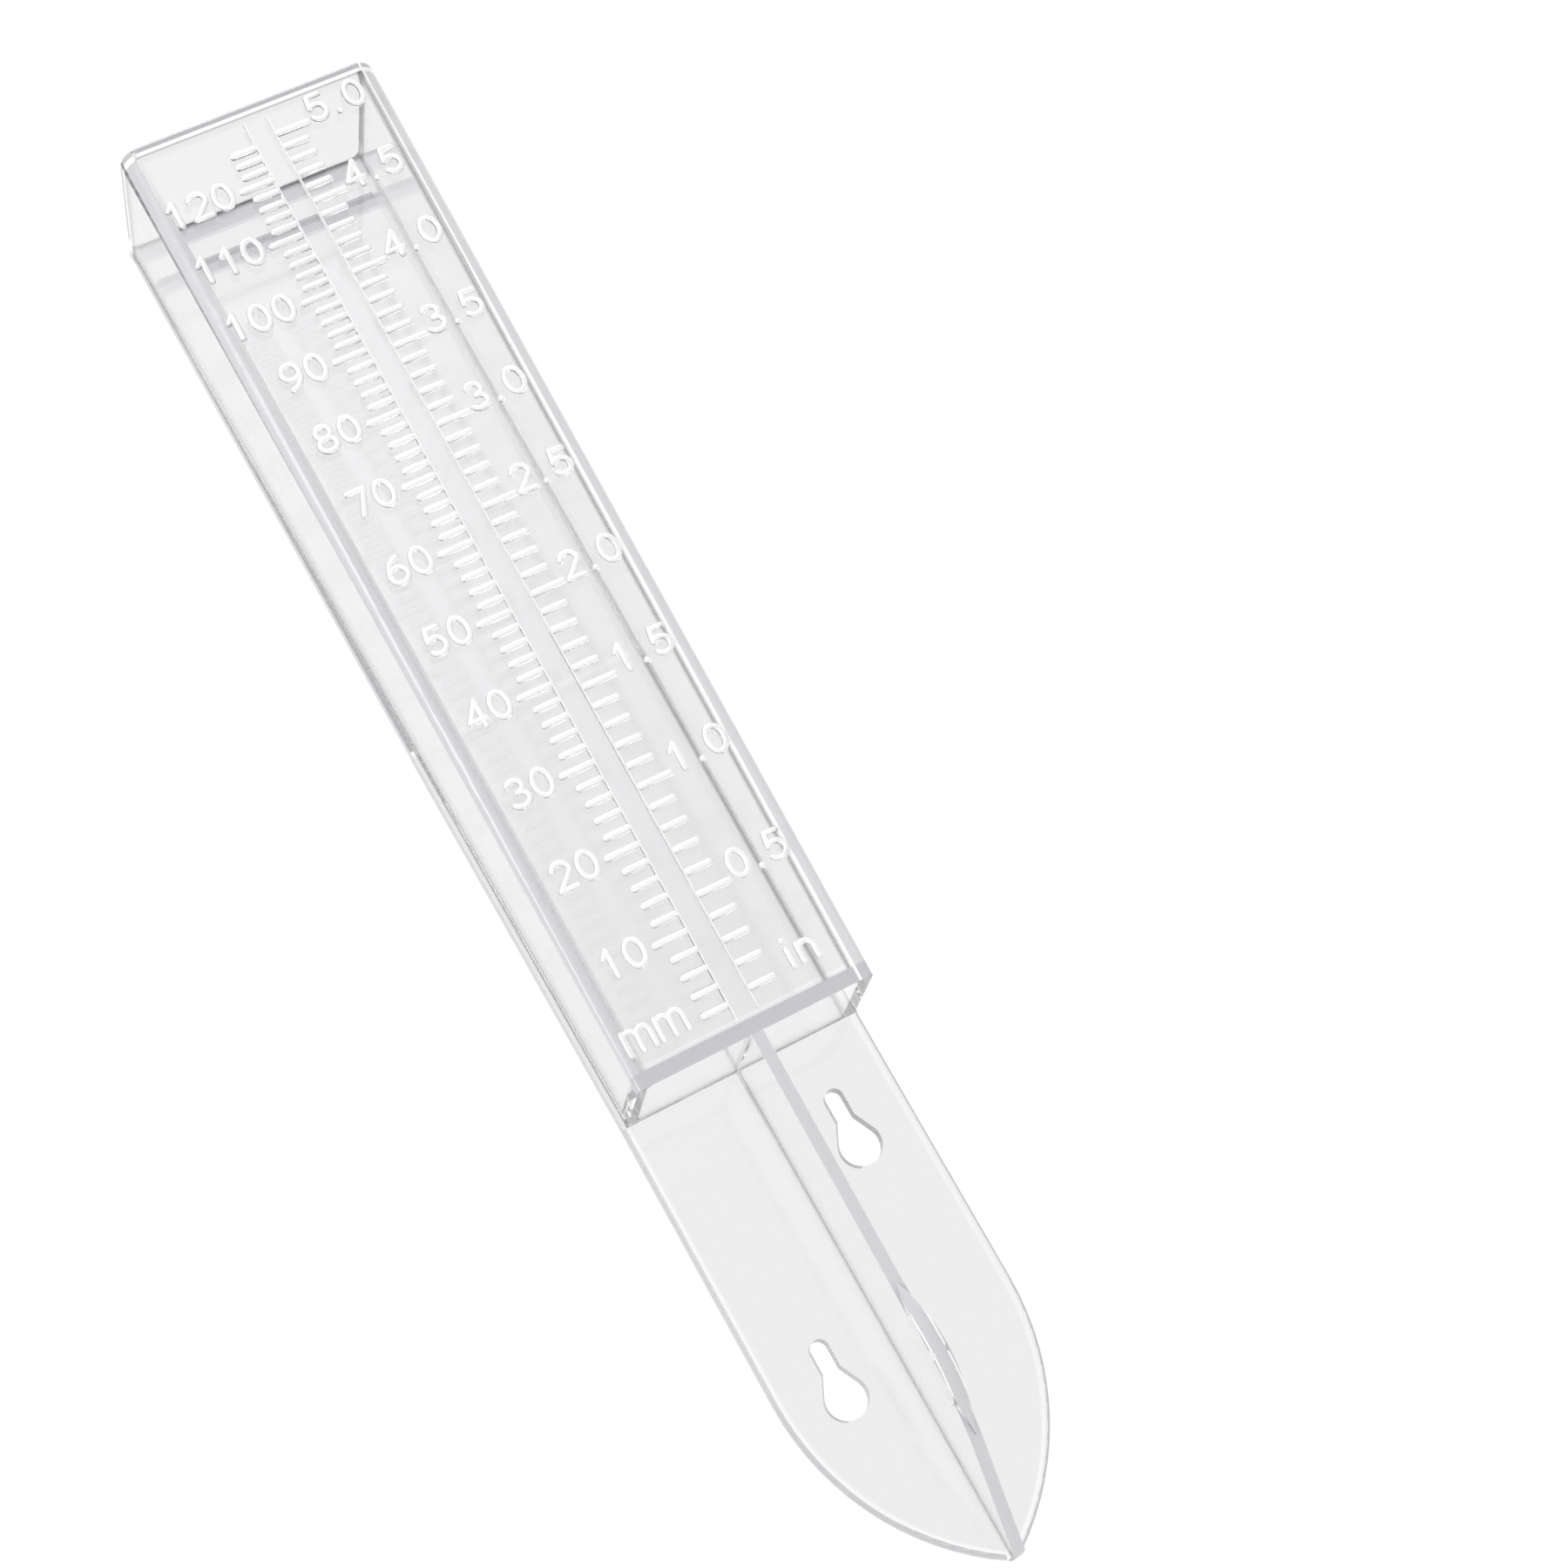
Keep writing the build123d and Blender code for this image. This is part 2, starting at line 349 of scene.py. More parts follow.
def edgeColor(tree, place):
    # each painted shade or highlight lies over the ones before it
    parts = tree.nodes.new("ShaderNodeSeparateXYZ")
    tree.links.new(place, parts.inputs[0])
    x, y, z = parts.outputs
    fromMiddle = numberStep(tree, "ABSOLUTE", x)
    across = vectorStep(tree, "DOT_PRODUCT", place, sideDirection())
    onRight = ramp(tree, x, edges["rightLitFrom"])
    onFin = both(tree, ramp(tree, fromMiddle, edges["finFrom"]), ramp(tree, z, edges["belowFrom"]))
    besideStrip = both(
        tree,
        ramp(tree, across, edges["besideFrom"], stripStart() - edges["rightExtra"]),
        ramp(tree, across, edges["besideTo"], stripStart()),
    )
    # painted shade in grey along the thin ends, lighter on the right; painted highlights in white on the
    # rim's band, beside the right strip, near the back and along the fin's corners
    color = edges["color"]
    for mask, lightOrShade in (
        (onRight, "right"),
        (ramp(tree, z, edges["bandFrom"], edges["rimBand"]), "white"),
        (ramp(tree, z, edges["rimFrom"]), "rimShade"),
        (ramp(tree, z, edges["floorFrom"], edges["floorStrip"]), "floorShade"),
        (both(tree, onRight, besideStrip), "white"),
        (ramp(tree, y, edges["nearBackFrom"], -tube["back"]), "white"),
        (ramp(tree, y, edges["outlineFrom"], -tube["back"]), "outline"),
        (onFin, "finFrontShade"),
        (both(tree, onFin, ramp(tree, fromMiddle, edges["cornerFrom"])), "white"),
    ):
        color = tinted(tree, color, mask, edges[lightOrShade])
    return color


def plasticMaterial(look):
    material, tree = newMaterial(look["name"])
    out = tree.nodes.new("ShaderNodeOutputMaterial")
    shader = tree.nodes.new("ShaderNodeBsdfPrincipled")
    shader.inputs["Transmission Weight"].default_value = look["through"]
    shader.inputs["IOR"].default_value = look["ior"]
    shader.inputs["Roughness"].default_value = look["roughness"]
    tree.links.new(shader.outputs["BSDF"], out.inputs["Surface"])
    return material, shader


def clearPlastic():
    material, shader = plasticMaterial(plastic)
    tree = material.node_tree
    absorb = tree.nodes.new("ShaderNodeVolumeAbsorption")
    absorb.inputs["Color"].default_value = plastic["absorb"] + (1,)
    absorb.inputs["Density"].default_value = plastic["absorbDensity"]
    tree.links.new(absorb.outputs["Volume"], tree.nodes["Material Output"].inputs["Volume"])
    place = tree.nodes.new("ShaderNodeTexCoord").outputs["Object"]
    tree.links.new(plasticColor(tree, place), shader.inputs["Base Color"])
    wave = tree.nodes.new("ShaderNodeTexNoise")
    wave.inputs["Scale"].default_value = plastic["waveScale"]
    wave.inputs["Detail"].default_value = plastic["waveDetail"]
    bump = tree.nodes.new("ShaderNodeBump")
    bump.inputs["Distance"].default_value = plastic["waveDepth"]
    tree.links.new(place, wave.inputs["Vector"])
    tree.links.new(wave.outputs["Fac"], bump.inputs["Height"])
    tree.links.new(bump.outputs["Normal"], shader.inputs["Normal"])
    return material


def edgePlastic():
    material, shader = plasticMaterial(edges)
    tree = material.node_tree
    place = tree.nodes.new("ShaderNodeTexCoord").outputs["Object"]
    tree.links.new(edgeColor(tree, place), shader.inputs["Base Color"])
    return material


def evenPlastic(look):
    material, shader = plasticMaterial(look)
    shader.inputs["Base Color"].default_value = look["color"] + (1,)
    return material


def tubeWidth(z):
    return tube["baseWidth"] + (tube["mouthWidth"] - tube["baseWidth"]) * z / tube["height"]


def tubeDepth(z):
    return tube["baseDepth"] + (tube["mouthDepth"] - tube["baseDepth"]) * z / tube["height"]


def cavityArea(z):
    return (tubeWidth(z) - 2 * tube["wall"]) * (tubeDepth(z) - tube["wall"] - tube["back"])


def waterVolume(z):
    middle = (tube["floor"] + z) / 2
    meanArea = (cavityArea(tube["floor"]) + 4 * cavityArea(middle) + cavityArea(z)) / 6
    return meanArea * (z - tube["floor"])


def waterLevel(rain):
    # how high this much rain stands in the tube, both in mm, by halving
    caught = rain * cavityArea(tube["height"])
    low, high = tube["floor"], tube["height"]
    for halving in range(numerals["halvings"]):
        middle = (low + high) / 2
        if waterVolume(middle) < caught:
            low = middle
        else:
            high = middle
    return low


# raised numerals and bars: round strokes, half sunk in the front; sizes in mm
numerals = {
    "width": 2.75,
    "height": 4.3,
    "stroke": 0.55,           # radius of the strokes, as barStroke and dotSize are
    "barStroke": 0.68,
    "dotSize": 0.6,
    "dotHalf": 0.02,
    "dotLift": 0.1,
    "sunk": 0.12,
    "mmSpots": (-10.4, -14.4, -18.4),     # last digit first
    "mmLift": 0.5,
    "mmTop": 120,
    "mmStep": 10,
    "inchSpots": (9.9, 16.4),
    "inchLift": 1.8,
    "inchTop": 5.0,
    "inchStep": 0.5,
    "dotSpot": 13.1,
    # bars: step in mm of rain, count, long every, reach of short and long
    "mmBars": (2, 63, 5, 6.4, 7.8),
    "inchBars": (inch / 10, 50, 5, 6.6, 8.0),
    "barsFrom": 2.35,
    "barEnd": 0.8,            # a bar's line ends this share of its stroke before its reach
    # unit words
    "mmWordSpot": (-18.2, 5.0),
    "mHeight": 3.6,
    "mHump": 2.1,
    "mPitch": 5.4,
    "inWordSpot": (9.9, 6.2),
    "inHeight": 3.0,
    "inDot": 4.4,
    "nSpot": 1.7,
    "nHump": 2.4,
    # fineness
    "arcSteps": 8,
    "ringSides": 16,
    "endRings": 3,
    "sharpCorner": 40,        # degrees
    "closedWithin": 0.000001,
    "layerGrowth": 0.004,     # each layer's strokes are thicker by this share, so that none coincide
    "halvings": 30,
}


def arc(cx, cy, rx, ry, start, end):
    # points of an elliptic arc, angles in degrees, anticlockwise from +x
    steps = max(3, round(numerals["arcSteps"] * abs(end - start) / 180))
    turn = [math.radians(start + (end - start) * i / steps) for i in range(steps + 1)]
    return [(cx + rx * math.cos(a), cy + ry * math.sin(a)) for a in turn]


def digitStrokes(digit):
    # centre lines in a box one wide and one high
    strokes = {
        "0": [arc(0.5, 0.5, 0.5, 0.5, 90, 450)],
        "1": [[(0.22, 0.74), (0.56, 1.0), (0.56, 0.0)]],
        "2": [arc(0.5, 0.72, 0.5, 0.28, 165, -25) + [(0.0, 0.0), (1.0, 0.0)]],
        "3": [arc(0.46, 0.76, 0.44, 0.24, 150, -90) + arc(0.46, 0.27, 0.52, 0.27, 90, -150)[1:]],
        "4": [[(0.76, 0.0), (0.76, 1.0), (0.0, 0.28), (1.0, 0.28)]],
        "5": [[(0.92, 1.0), (0.2, 1.0), (0.08, 0.52)] + arc(0.48, 0.32, 0.5, 0.32, 130, -145)],
        "6": [arc(0.95, 0.42, 0.93, 0.58, 100, 190), arc(0.5, 0.31, 0.5, 0.31, 0, 360)],
        "7": [[(0.0, 1.0), (1.0, 1.0), (0.36, 0.0)]],
        "8": [arc(0.5, 0.76, 0.42, 0.24, -90, 270), arc(0.5, 0.26, 0.5, 0.26, 90, 450)],
        "9": [arc(0.05, 0.58, 0.93, 0.58, -80, 10), arc(0.5, 0.69, 0.5, 0.31, 0, 360)],
    }
    return strokes[digit]


def letterHump(left, foot, high, width):
    # the round top and the right leg of an m or an n
    half = width / 2
    return arc(left + half, foot + high - half, half, half, 180, 0) + [(left + width, foot)]


def wordGlyphs():
    letters = []
    x, y = numerals["mmWordSpot"]
    high, hump = numerals["mHeight"], numerals["mHump"]
    for letter in range(2):
        left = x + letter * numerals["mPitch"]
        stem = [(left, y), (left, y + high)]
        letters.append([stem, letterHump(left, y, high, hump), letterHump(left + hump, y, high, hump)])
    x, y = numerals["inWordSpot"]
    high, left = numerals["inHeight"], x + numerals["nSpot"]
    letters.append([[(x, y), (x, y + high)]])
    letters.append([[(left, y), (left, y + high)], letterHump(left, y, high, numerals["nHump"])])
    return letters


def scaleGlyphs():
    # each glyph is a list of strokes in mm on the front's plane
    glyphs = []
    dots = []

    def place(digit, centre, level):
        left = centre - numerals["width"] / 2
        low = level - numerals["height"] / 2
        glyphs.append([
            [(left + px * numerals["width"], low + py * numerals["height"]) for px, py in line]
            for line in digitStrokes(digit)
        ])

    for rain in range(numerals["mmStep"], numerals["mmTop"] + 1, numerals["mmStep"]):
        for digit, centre in zip(reversed(str(rain)), numerals["mmSpots"]):
            place(digit, centre, waterLevel(rain) + numerals["mmLift"])
    for step in range(1, round(numerals["inchTop"] / numerals["inchStep"]) + 1):
        rain = step * numerals["inchStep"]
        level = waterLevel(rain * inch) + numerals["inchLift"]
        for digit, centre in zip("{:.1f}".format(rain).split("."), numerals["inchSpots"]):
            place(digit, centre, level)
        dots.append((numerals["dotSpot"], level - numerals["height"] / 2 + numerals["dotLift"]))
    x, y = numerals["inWordSpot"]
    dots.append((x, y + numerals["inDot"]))
    return glyphs + wordGlyphs(), dots


def barStrokes():
    # over the bars of the solid, with round ends
    bars = []
    scales = ((-1, numerals["mmBars"]), (1, numerals["inchBars"]))
    for side, (step, count, longEvery, short, long) in scales:
        for i in range(1, count + 1):
            level = waterLevel(i * step)
            reach = (short if i % longEvery else long) - numerals["barStroke"] * numerals["barEnd"]
            bars.append([(side * numerals["barsFrom"], level), (side * reach, level)])
    return bars


def frontPlace():
    # from the front's own plane, x across and y up, to the frame
    place = Matrix.Translation((0, -tube["baseDepth"] * mm, 0))
    lean = Matrix.Rotation(math.radians(90) + slopeOfFront(), 4, "X")
    return place @ lean @ Matrix.Scale(mm, 4) @ Matrix.Translation((0, 0, -numerals["sunk"]))


def isClosed(line):
    return math.dist(line[0], line[-1]) < numerals["closedWithin"]


def splitAtCorners(line):
    # a stroke with a sharp corner becomes two strokes that meet there
    parts = []
    part = [line[0]]
    for before, point, after in zip(line, line[1:], line[2:]):
        part.append(point)
        turn = (Vector(point) - Vector(before)).angle(Vector(after) - Vector(point))
        if turn > math.radians(numerals["sharpCorner"]):
            parts.append(part)
            part = [point]
    part.append(line[-1])
    parts.append(part)
    return parts


def addRing(work, centre, along, radius):
    side = Vector((-along.y, along.x, 0))
    ring = []
    for i in range(numerals["ringSides"]):
        turn = 2 * math.pi * i / numerals["ringSides"]
        lift = Vector((0, 0, radius * math.sin(turn)))
        ring.append(work.verts.new(centre + side * radius * math.cos(turn) + lift))
    return ring


def addRoundEnd(work, point, along, radius, way):
    # rings from the tip inwards where a stroke starts (way -1), outwards to the tip where it ends (1)
    steps = list(range(1, numerals["endRings"]))
    rings = []
    for step in steps[::-way]:
        turn = math.pi / 2 * step / numerals["endRings"]
        centre = point + along * way * radius * math.cos(turn)
        rings.append(addRing(work, centre, along, radius * math.sin(turn)))
    return rings


def addStroke(work, line, radius):
    # a round bar along the line, with round ends, or a ring when the line is closed
    closed = isClosed(line)
    points = [Vector((x, y, 0)) for x, y in (line[:-1] if closed else line)]
    rings = []
    for i, point in enumerate(points):
        first = i == 0 and not closed
        last = i + 1 == len(points) and not closed
        before = point if first else points[i - 1]
        after = point if last else points[(i + 1) % len(points)]
        along = (after - before).normalized()
        if first:
            rings += addRoundEnd(work, point, along, radius, -1)
        rings.append(addRing(work, point, along, radius))
        if last:
            rings += addRoundEnd(work, point, along, radius, 1)
    sides = numerals["ringSides"]
    pairs = list(zip(rings, rings[1:]))
    if closed:
        pairs.append((rings[-1], rings[0]))
    for one, other in pairs:
        for i in range(sides):
            k = (i + 1) % sides
            work.faces.new((one[i], other[i], other[k], one[k]))
    if not closed:
        work.faces.new(rings[0])
        work.faces.new(list(reversed(rings[-1])))


def layerMesh(lines, radius, place):
    # strokes that do not touch one another
    work = bmesh.new()
    for line in lines:
        addStroke(work, line, radius)
    bmesh.ops.triangulate(work, faces=work.faces)
    bmesh.ops.recalc_face_normals(work, faces=work.faces)
    bmesh.ops.transform(work, matrix=place, verts=work.verts)
    mesh = bpy.data.meshes.new("numeral_layer")
    work.to_mesh(mesh)
    work.free()
    return mesh


def numeralLayers():
    # strokes of one glyph meet, so each goes into a layer of its own
    glyphs, dots = scaleGlyphs()
    layers = []
    for glyph in glyphs:
        parts = []
        for line in glyph:
            parts += [line] if isClosed(line) else splitAtCorners(line)
        for i, part in enumerate(parts):
            if i == len(layers):
                layers.append([])
            layers[i].append(part)
    place = frontPlace()
    meshes = []
    for i, layer in enumerate(layers):
        meshes.append(layerMesh(layer, numerals["stroke"] * (1 + numerals["layerGrowth"] * i), place))
    half = numerals["dotHalf"]
    meshes.append(layerMesh([[(x - half, y), (x + half, y)] for x, y in dots], numerals["dotSize"], place))
    meshes.append(layerMesh(barStrokes(), numerals["barStroke"], place))
    return meshes


# the gauge: the CAD shape with the numerals and round bars grown onto its front
body = {
    "name": "gauge_body_clear",
    "mergeWithin": 0.000002,
    "sharpAngle": 35,         # between two rounded faces
    "flatArea": 0.00006,      # a flat side has at least this much area in one plane
    "flatWithin": 0.000008,   # how far a corner of a flat side may lie from its plane
    "flatNormal": 0.99,       # how well a face's normal agrees with its flat side's
    "tinyArea": 0.000000000001,       # smaller faces have no sure normal
    "onePlane": 0.9999,       # how well two flat faces' normals agree where no edge shows
    "normalDigits": 3,
    "distanceDigits": 4,
}


def planeOf(face):
    # the same for all faces in one plane
    normal = [round(part, body["normalDigits"]) for part in face.normal]
    return (*normal, round(face.normal.dot(face.verts[0].co), body["distanceDigits"]))


def flatPlanes(work):
    # the large planes of the CAD shape: point and normal of each one's largest face
    areas = {}
    largest = {}
    for face in work.faces:
        plane = planeOf(face)
        size = face.calc_area()
        areas[plane] = areas.get(plane, 0.0) + size
        if plane not in largest or size > largest[plane][0]:
            largest[plane] = (size, face.verts[0].co.copy(), face.normal.copy())
    return [largest[plane][1:] for plane, area in areas.items() if area > body["flatArea"]]


def flatNormals(work, planes):
    # the plane's normal for each face that lies in a flat side
    found = {}
    for face in work.faces:
        for point, normal in planes:
            if all(abs(normal.dot(vert.co - point)) < body["flatWithin"] for vert in face.verts):
                if face.calc_area() < body["tinyArea"] or face.normal.dot(normal) > body["flatNormal"]:
                    found[face.index] = normal
                    break
    return found


def isSmooth(edge, flats):
    # smooth within a flat side and within a rounded strip, sharp where the two meet
    one, other = [face.index for face in edge.link_faces]
    if one in flats and other in flats:
        return flats[one].dot(flats[other]) > body["onePlane"]
    if one in flats or other in flats:
        return False
    return edge.calc_face_angle(0.0) < math.radians(body["sharpAngle"])


def shadeFlatsAndRounds(mesh, planes):
    # flat sides keep their planes' normals, and rounded strips are smooth up to their edges
    work = bmesh.new()
    work.from_mesh(mesh)
    work.faces.ensure_lookup_table()
    flats = flatNormals(work, planes)
    for face in work.faces:
        face.smooth = True
    for edge in work.edges:
        if len(edge.link_faces) == 2:
            edge.smooth = isSmooth(edge, flats)
    work.to_mesh(mesh)
    work.free()
    normals = [Vector(corner.vector) for corner in mesh.corner_normals]
    for polygon in mesh.polygons:
        if polygon.index in flats:
            for corner in polygon.loop_indices:
                normals[corner] = flats[polygon.index]
    mesh.normals_split_custom_set(normals)


def grow(mesh, added):
    # the two closed meshes as one closed mesh
    whole = bpy.data.objects.new("whole", mesh)
    extra = bpy.data.objects.new("extra", added)
    for piece in (whole, extra):
        bpy.context.scene.collection.objects.link(piece)
    join = whole.modifiers.new("join", "BOOLEAN")
    join.operation = "UNION"
    join.solver = "MANIFOLD"
    join.object = extra
    graph = bpy.context.evaluated_depsgraph_get()
    joined = bpy.data.meshes.new_from_object(whole.evaluated_get(graph))
    for piece in (whole, extra):
        bpy.data.objects.remove(piece)
    return joined


def cutStrips(mesh):
    # edges along the strips, so that they can have their own finish
    outward = frontNormal()
    across = sideDirection()
    strip = stripStart()
    cuts = [
        (Vector((strip - edges["rightExtra"], 0, 0)), across),
        (Vector((-strip, 0, 0)), Vector((-across.x, 0, across.z))),
        (outward * (frontReach() - edges["stripDepth"]), outward),
    ]
    for height in ("floorStrip", "plateTop", "rimBand"):
        cuts.append((Vector((0, 0, edges[height])), Vector((0, 0, 1))))
    cuts.append((Vector((0, -tube["back"] - edges["rootStrip"], 0)), Vector((0, 1, 0))))
    work = bmesh.new()
    work.from_mesh(mesh)
    for point, normal in cuts:
        bmesh.ops.bisect_plane(
            work, geom=work.verts[:] + work.edges[:] + work.faces[:],
            dist=body["mergeWithin"], plane_co=point * mm, plane_no=normal,
        )
    work.to_mesh(mesh)
    work.free()


# places that tell the faces apart, in mm
spots = {
    "onPlate": 0.01,          # in front of the back plate, still on it
    "offPlate": 0.3 * tube["back"],
    "onFront": -0.1,
    "onSide": edges["stripWidth"] - 0.1,      # past the strip's inner line, as the next two are
    "outline": edges["stripWidth"] + 0.02,
    "cavityCorner": edges["stripWidth"] - tube["wall"] - edges["cornerRadius"],
    "cavityFloor": 3.0,
    "cavityFront": (-tube["wall"] - 1.1 * edges["cornerRadius"], -0.9 * tube["wall"]),
}

# the finish of a face is the first that it fits here, with every measure over what the first
# dictionary says and under what the second says; faces that fit none stay clear
# sideways, lengthways, backward, upward and outward are parts of a face's normal, the rest are in mm
# the edges finish paints shade in grey and highlights in white
finishes = (
    # tops of the numerals, then bars and ridges with their sides
    ("marks", {"height": 0.5, "outward": -0.05, "lowest": marks["numeralProud"]}, {}),
    ("marks", {"height": 0.5, "outward": -0.05, "lowest": -0.02, "highest": marks["barProud"]}, {}),
    # strips beside the front, and the one below it
    ("edges", {"height": 0, "pastLine": 0, "proud": -edges["stripDepth"]}, {"upward": 0.97}),
    ("edges", {"height": 0, "proud": spots["onFront"], "upward": -0.9}, {"height": edges["floorStrip"]}),
    # flanges up the back edges
    ("edges", {"height": 60, "pastStrip": spots["outline"]}, {"offPlate": spots["onPlate"], "right": 0}),
    ("frosted", {"height": 60, "pastStrip": spots["outline"]}, {"offPlate": spots["onPlate"]}),
    # side walls near the back
    (
        "frosted",
        {"height": 0, "offPlate": 0, "pastStrip": spots["onSide"], "sideways": 0.7},
        {"offPlate": edges["rootStrip"]},
    ),
    # the cavity's corners at the back, then those at the front
    (
        "frosted",
        {
            "height": spots["cavityFloor"], "offPlate": 0, "pastStrip": spots["cavityCorner"],
            "sideways": 0.1, "lengthways": 0.1,
        },
        {"offPlate": edges["rootStrip"], "sideways": 0.98},
    ),
    (
        "frosted",
        {
            "height": spots["cavityFloor"], "proud": spots["cavityFront"][0],
            "pastStrip": spots["cavityCorner"], "sideways": 0.1, "backward": 0.1,
        },
        {"proud": spots["cavityFront"][1], "sideways": 0.98},
    ),
    # root of the fin in painted shade, then the sides of the swelling over the gate, white as a painted
    # highlight
    (
        "edges",
        {"offPlate": spots["onPlate"], "sideways": 0.9},
        {"height": 0, "offPlate": edges["rootStrip"], "fromMiddle": edges["finHalfWidth"] + 0.1},
    ),
    (
        "marks",
        {"offPlate": spots["offPlate"], "fromMiddle": edges["finHalfWidth"] + 0.02, "sideways": 0.5},
        {"height": -40},
    ),
    # band below the rim, on the front and on the sides, mostly a painted highlight, then the rim's
    # rounding in painted shade, and its flat top
    ("edges", {"height": edges["rimBand"], "proud": spots["onFront"]}, {"upward": 0.2}),
    ("edges", {"height": edges["rimBand"], "pastStrip": spots["onSide"]}, {"upward": 0.2}),
    ("edges", {"height": edges["rim"], "upward": 0.2}, {"upward": 0.97}),
    ("frosted", {"height": edges["rim"], "upward": 0.2}, {}),
    # outline of the blade and walls of the keyholes
    ("edges", {"backward": -0.97}, {"farthest": spots["onPlate"], "backward": 0.3, "upward": 0.9}),
    # front of the fin
    (
        "edges",
        {"offPlate": spots["offPlate"]},
        {"height": -0.3, "fromMiddle": edges["finHalfWidth"] + 0.2, "backward": -0.25},
    ),
)


def finishOf(face):
    for finish, over, under in finishes:
        if all(face[name] > least for name, least in over.items()):
            if all(face[name] < most for name, most in under.items()):
                return finish
    return "clear"


def finishFaces(mesh, names):
    outward = frontNormal()
    across = sideDirection()
    front = frontReach()
    strip = stripStart()
    for polygon in mesh.polygons:
        corners = [mesh.vertices[i].co / mm for i in polygon.vertices]
        proud = [corner.dot(outward) - front for corner in corners]
        middle = polygon.center / mm
        normal = polygon.normal
        pastStrip = abs(middle.x) * across.x + middle.z * across.z - strip
        face = {
            "height": middle.z,
            "right": middle.x,
            "fromMiddle": abs(middle.x),
            "offPlate": -middle.y - tube["back"],
            "farthest": max(-corner.y for corner in corners) - tube["back"],
            "proud": middle.dot(outward) - front,
            "lowest": min(proud),
            "highest": max(proud),
            "pastStrip": pastStrip,
            "pastLine": pastStrip + (edges["rightExtra"] if middle.x > 0 else 0),
            "sideways": abs(normal.x),
            "lengthways": abs(normal.y),
            "backward": normal.y,
            "upward": normal.z,
            "outward": normal.dot(outward),
        }
        polygon.material_index = names.index(finishOf(face))


def makeBody():
    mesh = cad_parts["gauge_body"].data.copy()
    work = bmesh.new()
    work.from_mesh(mesh)
    bmesh.ops.remove_doubles(work, verts=work.verts, dist=body["mergeWithin"])
    bmesh.ops.recalc_face_normals(work, faces=work.faces)
    planes = flatPlanes(work)
    work.to_mesh(mesh)
    work.free()
    for layer in numeralLayers():
        mesh = grow(mesh, layer)
    mesh.name = body["name"]
    cutStrips(mesh)
    materials = {
        "clear": clearPlastic(),
        "marks": evenPlastic(marks),
        "edges": edgePlastic(),
        "frosted": evenPlastic(frosted),
    }
    mesh.materials.clear()
    for material in materials.values():
        mesh.materials.append(material)
    finishFaces(mesh, list(materials))
    shadeFlatsAndRounds(mesh, planes)
    piece = bpy.data.objects.new(body["name"], mesh)
    bpy.context.scene.collection.objects.link(piece)
    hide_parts("gauge_body")
    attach(piece, "root")
    print("gauge made,", len(mesh.polygons), "faces,", len(planes), "flat sides")


# pale floor, far enough below for the gauge to hang free above it
floor = {"drop": 0.30, "size": 6.0, "color": (0.9, 0.9, 0.9)}


def whiteToView(tree, shader):
    # what the camera and reflections see as plain white
    paths = tree.nodes.new("ShaderNodeLightPath")
    camera, glossy = paths.outputs["Is Camera Ray"], paths.outputs["Is Glossy Ray"]
    white = tree.nodes.new("ShaderNodeEmission")
    mix = tree.nodes.new("ShaderNodeMixShader")
    tree.links.new(numberStep(tree, "MAXIMUM", camera, glossy), mix.inputs["Fac"])
    tree.links.new(shader.outputs[0], mix.inputs[1])
    tree.links.new(white.outputs[0], mix.inputs[2])
    return mix.outputs[0]


def makeFloor():
    material, tree = newMaterial("floor_white")
    out = tree.nodes.new("ShaderNodeOutputMaterial")
    matt = tree.nodes.new("ShaderNodeBsdfDiffuse")
    matt.inputs["Color"].default_value = floor["color"] + (1,)
    tree.links.new(whiteToView(tree, matt), out.inputs["Surface"])
    work = bmesh.new()
    low = Matrix.Translation((0, 0, cadBox[0].z - floor["drop"]))
    bmesh.ops.create_grid(work, x_segments=1, y_segments=1, size=floor["size"] / 2, matrix=low)
    mesh = bpy.data.meshes.new("floor")
    work.to_mesh(mesh)
    work.free()
    mesh.materials.append(material)
    plane = bpy.data.objects.new("floor", mesh)
    plane.visible_transmission = False      # its far edge would show through the tube
    bpy.context.scene.collection.objects.link(plane)
    print("floor made")


# surroundings as reflections and refractions see them: white, with darker and brighter cards
# each card: direction, angle to its middle where it ends, softness of its edge, both in degrees, and level
room = {
    "white": 1.0,
    "plain": 0.8,
    "mirrorCards": {
        "cameraSide": ((0.1, -1.0, 0.1), 50, 10, 0.6),
    },
    "throughCards": {
        "below": ((0.0, 0.0, -1.0), 55, 20, 1.0),
        "above": ((0.0, 0.0, 1.0), 45, 12, 0.7),
        "right": ((1.0, 0.0, 0.0), 35, 10, 0.7),
        "left": ((-1.0, 0.0, 0.0), 35, 10, 0.7),
        "lamp": ((-0.3, -1.0, 0.6), 30, 8, 2.0),
    },
}


def cardLevels(tree, direction, cards):
    # one number for every direction: each card in turn replaces what is behind it
    level = None
    for aim, reach, soft, value in cards.values():
        cover = tree.nodes.new("ShaderNodeMapRange")
        cover.interpolation_type = "SMOOTHSTEP"
        cover.inputs["From Min"].default_value = math.cos(math.radians(reach + soft / 2))
        cover.inputs["From Max"].default_value = math.cos(math.radians(reach - soft / 2))
        facing = vectorStep(tree, "DOT_PRODUCT", direction, Vector(aim).normalized())
        tree.links.new(facing, cover.inputs["Value"])
        mix = tree.nodes.new("ShaderNodeMix")
        tree.links.new(cover.outputs[0], mix.inputs["Factor"])
        mix.inputs["B"].default_value = value
        if level is None:
            mix.inputs["A"].default_value = room["white"]
        else:
            tree.links.new(level, mix.inputs["A"])
        level = mix.outputs["Result"]
    return level


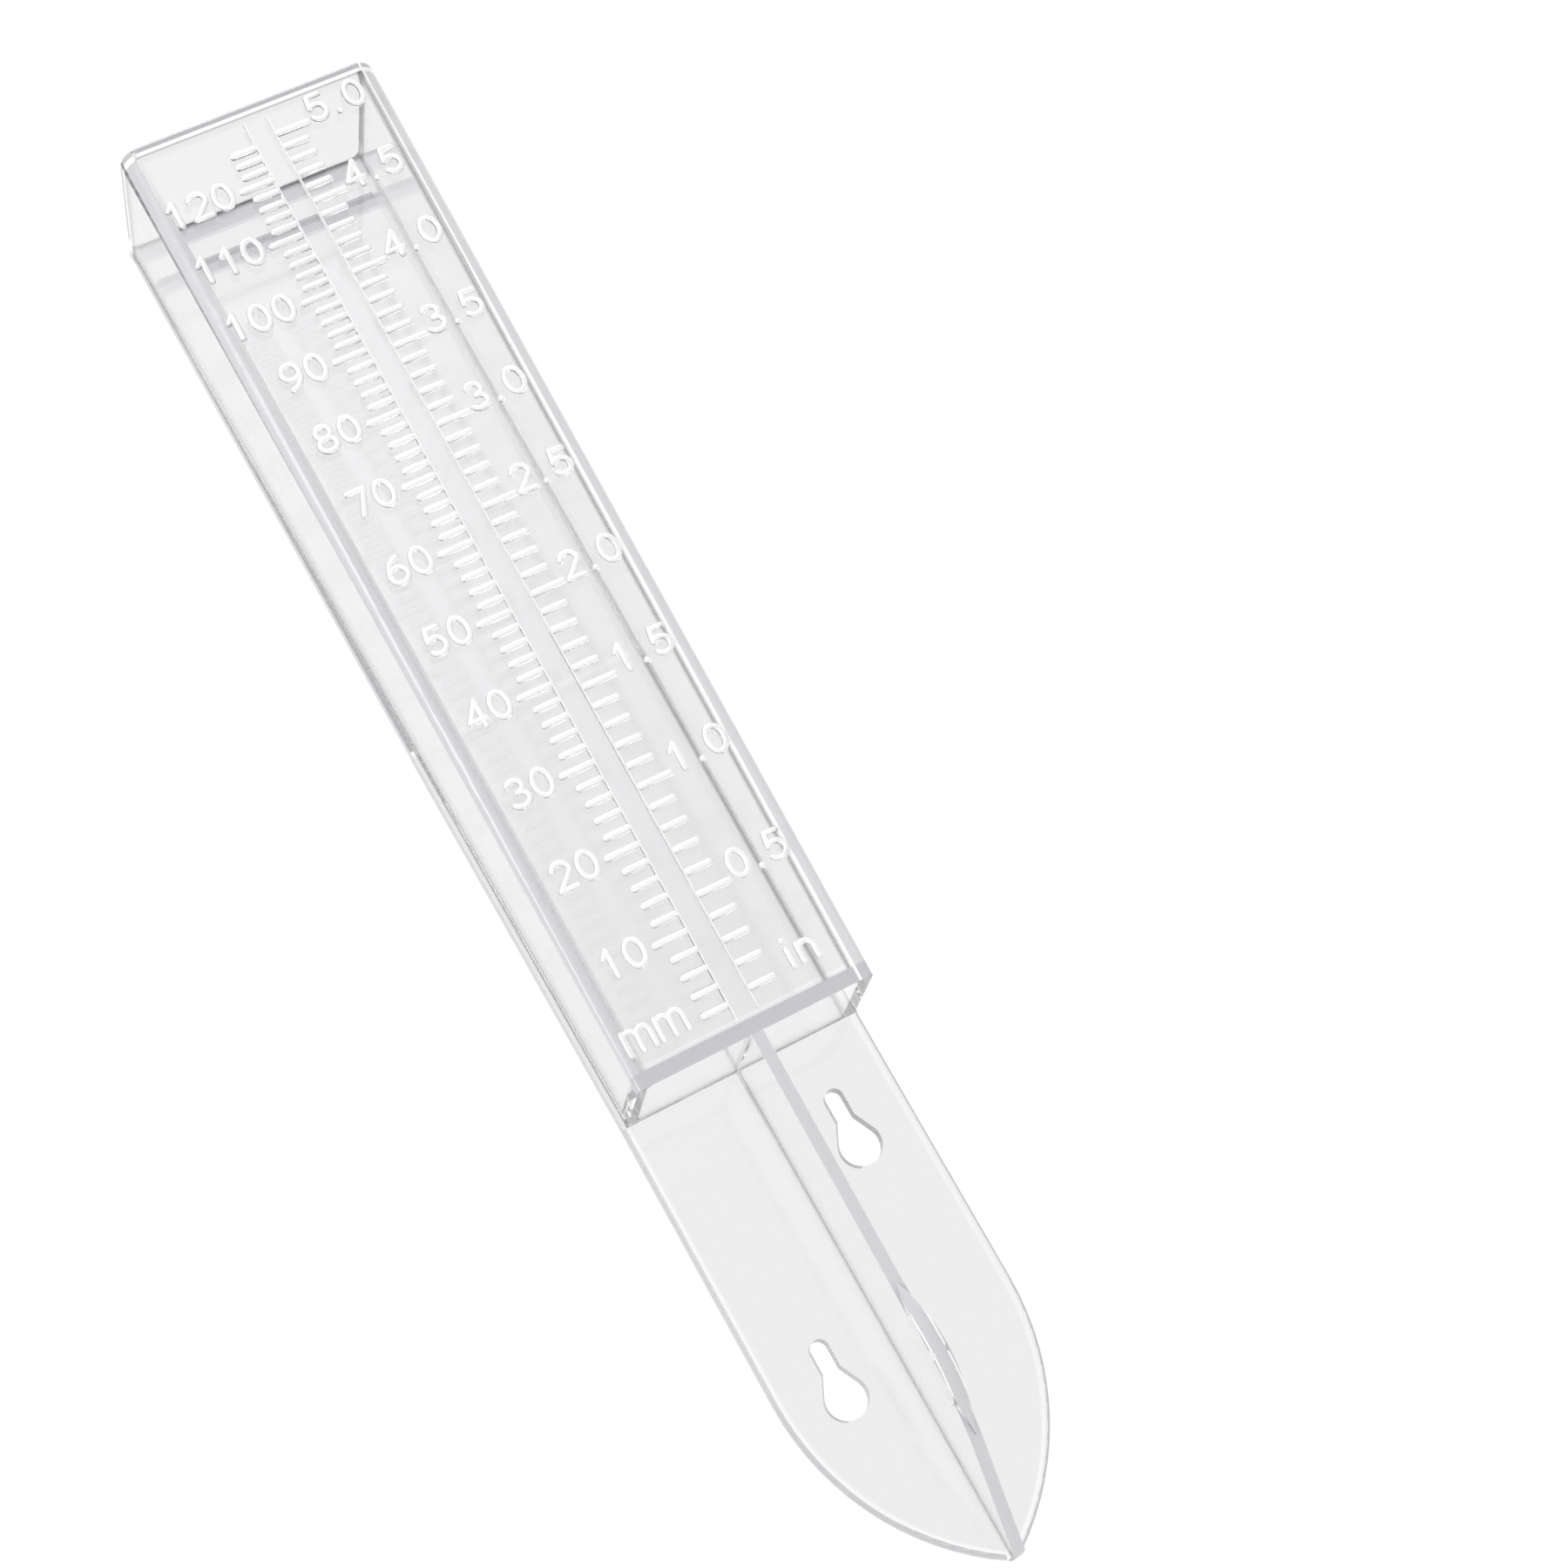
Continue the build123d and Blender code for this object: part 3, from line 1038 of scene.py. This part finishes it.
def makeRoom():
    world = bpy.data.worlds.new("room")
    bpy.context.scene.world = world
    world.use_nodes = True
    tree = world.node_tree
    tree.nodes.clear()
    out = tree.nodes.new("ShaderNodeOutputWorld")
    paths = tree.nodes.new("ShaderNodeLightPath")
    direction = tree.nodes.new("ShaderNodeTexCoord").outputs["Generated"]
    layers = (
        (None, room["plain"]),
        ("Is Glossy Ray", cardLevels(tree, direction, room["mirrorCards"])),
        ("Is Transmission Ray", cardLevels(tree, direction, room["throughCards"])),
        ("Is Camera Ray", room["white"]),
    )
    below = None
    for ray, level in layers:
        light = tree.nodes.new("ShaderNodeBackground")
        light.inputs["Color"].default_value = (1, 1, 1, 1)
        if isinstance(level, float):
            light.inputs["Strength"].default_value = level
        else:
            tree.links.new(level, light.inputs["Strength"])
        if below is None:
            below = light
            continue
        mix = tree.nodes.new("ShaderNodeMixShader")
        tree.links.new(paths.outputs[ray], mix.inputs["Fac"])
        tree.links.new(below.outputs[0], mix.inputs[1])
        tree.links.new(light.outputs[0], mix.inputs[2])
        below = mix
    tree.links.new(below.outputs[0], out.inputs["Surface"])
    print("room made")


# soft boxes: place, size and power, all turned to one spot on the gauge
softBoxes = {
    "overhead": {"spot": (0.0, -0.3, 1.1), "size": 0.7, "power": 6.0},
    "left": {"spot": (-0.9, -0.5, 0.3), "size": 0.5, "power": 3.0},
}
lightAim = (0.0, 0.0, 0.05)


def makeLights():
    for name, box in softBoxes.items():
        data = bpy.data.lights.new(name, "AREA")
        data.shape = "SQUARE"
        data.size = box["size"]
        data.energy = box["power"]
        light = bpy.data.objects.new(name, data)
        light.location = box["spot"]
        light.rotation_mode = "QUATERNION"
        look = Vector(lightAim) - Vector(box["spot"])
        light.rotation_quaternion = look.to_track_quat("-Z", "Y")
        light.visible_camera = False
        bpy.context.scene.collection.objects.link(light)
    print("lights made")


# clear walls one behind another need many bounces
lightPaths = {"max_bounces": 32, "glossy_bounces": 32, "transmission_bounces": 32}


def setLightPaths():
    for name, count in lightPaths.items():
        setattr(bpy.context.scene.cycles, name, count)


makeCamera()
makeRoom()
makeLights()
makeFloor()
makeBody()
setLightPaths()
bpy.context.scene.view_settings.view_transform = "Standard"
